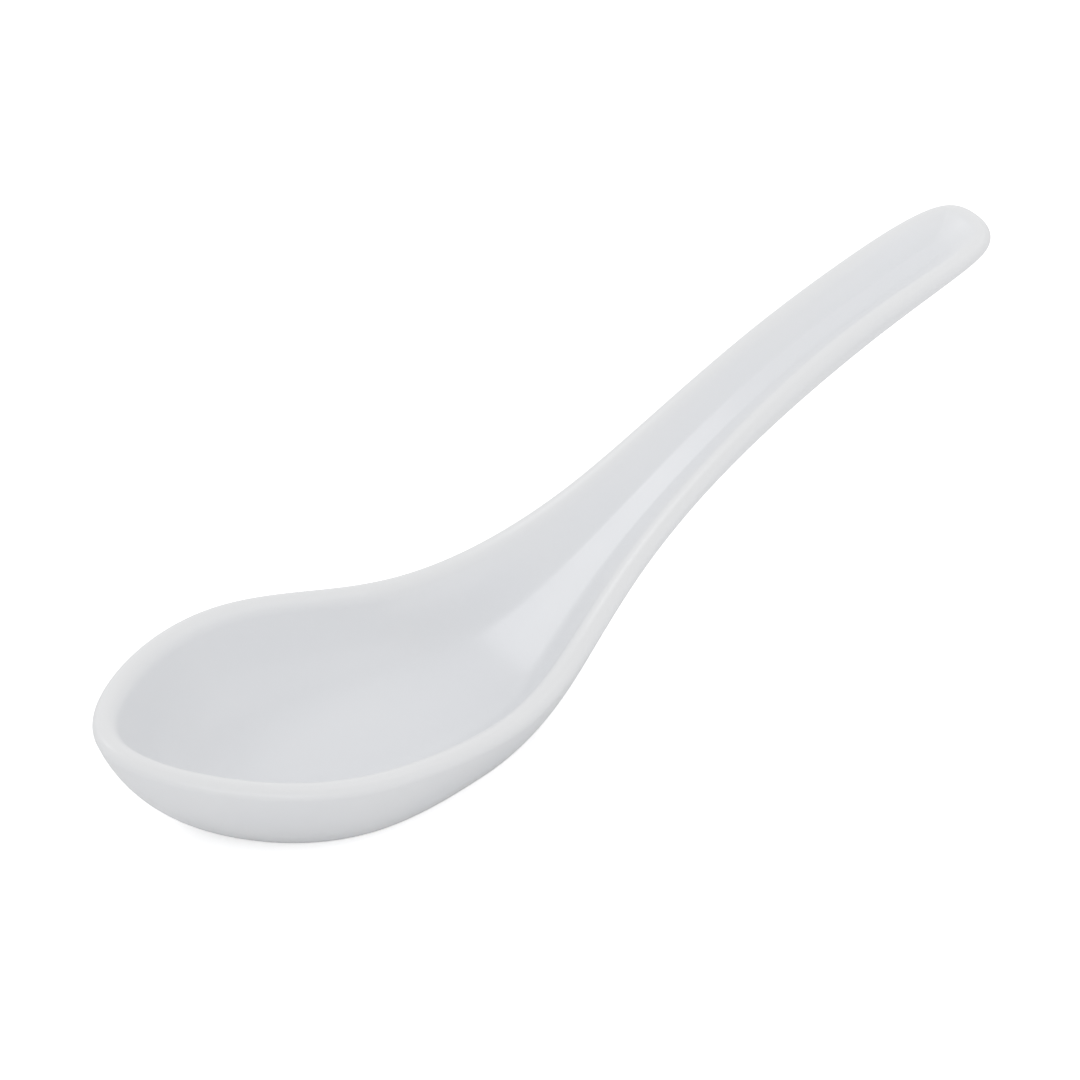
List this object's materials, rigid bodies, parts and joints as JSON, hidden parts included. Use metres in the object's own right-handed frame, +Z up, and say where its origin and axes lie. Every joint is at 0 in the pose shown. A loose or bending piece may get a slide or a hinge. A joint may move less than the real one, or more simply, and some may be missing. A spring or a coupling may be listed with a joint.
{
  "type": "amuse bouche spoon",
  "caption": "One-piece white tasting spoon: a deep oval bowl on a flat base that flows into a rising, slightly dished handle with a rounded rim.",
  "frame": {"origin": "middle of the flat base, on the surface the spoon stands on", "axes": "+X from the nose of the bowl towards the tip of the handle, +Z up, Y across, symmetric about Y = 0"},
  "size_m": [0.135, 0.0444, 0.0479],
  "materials": {
    "glaze": "glossy white glaze"
  },
  "bodies": {
    "root": {"spoon": "glaze"}
  },
  "joints": []
}
